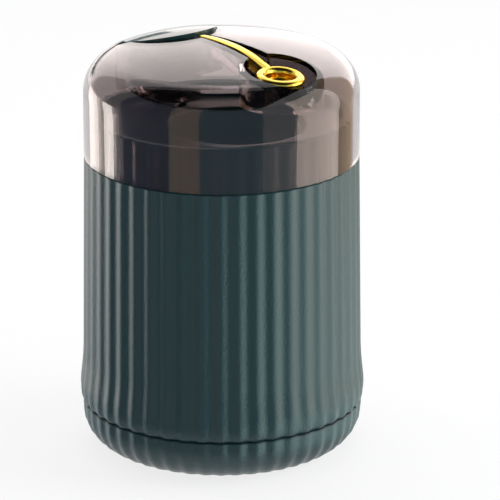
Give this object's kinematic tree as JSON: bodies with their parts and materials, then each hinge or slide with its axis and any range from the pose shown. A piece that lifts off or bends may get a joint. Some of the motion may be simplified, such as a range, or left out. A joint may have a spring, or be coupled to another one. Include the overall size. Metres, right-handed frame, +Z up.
{
  "type": "toothpick dispenser",
  "caption": "Round press-button toothpick dispenser with a reeded body, a clear domed lid and a gilt outlet ring that one pick rises through.",
  "frame": {"origin": "centre of the underside, on the surface that the dispenser stands on", "axes": "+Z up; the outlet ring is towards -Y and the button towards +Y"},
  "size_m": [0.0782, 0.0782, 0.1153],
  "materials": {
    "pearl_green": "satin pearl with a fine metallic grain",
    "deep_green": "semi-gloss moulded plastic",
    "button_green": "polished pearl",
    "smoked_clear": "clear, smoky, polished",
    "gilt": "polished gilt plating",
    "inner_grey": "moulded, fine matt",
    "inner_white": "natural acetal",
    "plain_steel": "plain bright steel",
    "spring_steel": "drawn spring wire and strip",
    "soft_pad": "matt non-slip rubber"
  },
  "bodies": {
    "housing": {"outer_body": "pearl_green", "base_cover": "pearl_green", "base_pad": "soft_pad", "base_screws": "plain_steel", "hopper_tray": "deep_green", "mechanism_frame": "inner_grey", "frame_screws": "plain_steel", "pivot_pin": "plain_steel", "return_spring": "spring_steel"},
    "lid": {"lid_shell": "smoked_clear", "gilt_trim": "gilt", "outlet_sleeve": "gilt", "button_spring": "spring_steel"},
    "button": {"button_cap": "button_green", "button_stem": "inner_white", "stem_clip": "spring_steel"},
    "push_rod": {"push_rod": "plain_steel", "rod_clip": "spring_steel"},
    "rocker": {"rocker_lever": "inner_white"},
    "lifter": {"lifter_blade": "plain_steel", "lifter_foot": "inner_white"}
  },
  "joints": [
    {"name": "lid_lift", "type": "slide", "parent": "housing", "child": "lid", "axis": [0, 0, 1], "range_m": [0, 0.04]},
    {"name": "button_press", "type": "slide", "parent": "lid", "child": "button", "axis": [0, 0, -1], "range_m": [0, 0.0065], "stiffness_N_per_m": 150, "springref_m": -0.004, "deforming": ["button_spring"]},
    {"name": "push_rod_slide", "type": "slide", "parent": "housing", "child": "push_rod", "axis": [0, 0, -1], "range_m": [0, 0.0065], "stiffness_N_per_m": 120, "springref_m": -0.004, "deforming": ["return_spring"]},
    {"name": "rocker_swing", "type": "hinge", "parent": "housing", "child": "rocker", "pos_m": [0, 0.0104, 0.01625], "axis": [-1, 0, 0], "range_deg": [0, 32.84]},
    {"name": "lifter_lift", "type": "slide", "parent": "housing", "child": "lifter", "axis": [0, 0, 1], "range_m": [0, 0.0196]}
  ],
  "couplings": [
    {"joint": "push_rod_slide", "follows": "button_press", "ratio": 1},
    {"joint": "rocker_swing", "follows": "button_press", "rad_per_m": 88.158},
    {"joint": "lifter_lift", "follows": "button_press", "ratio": 3}
  ]
}
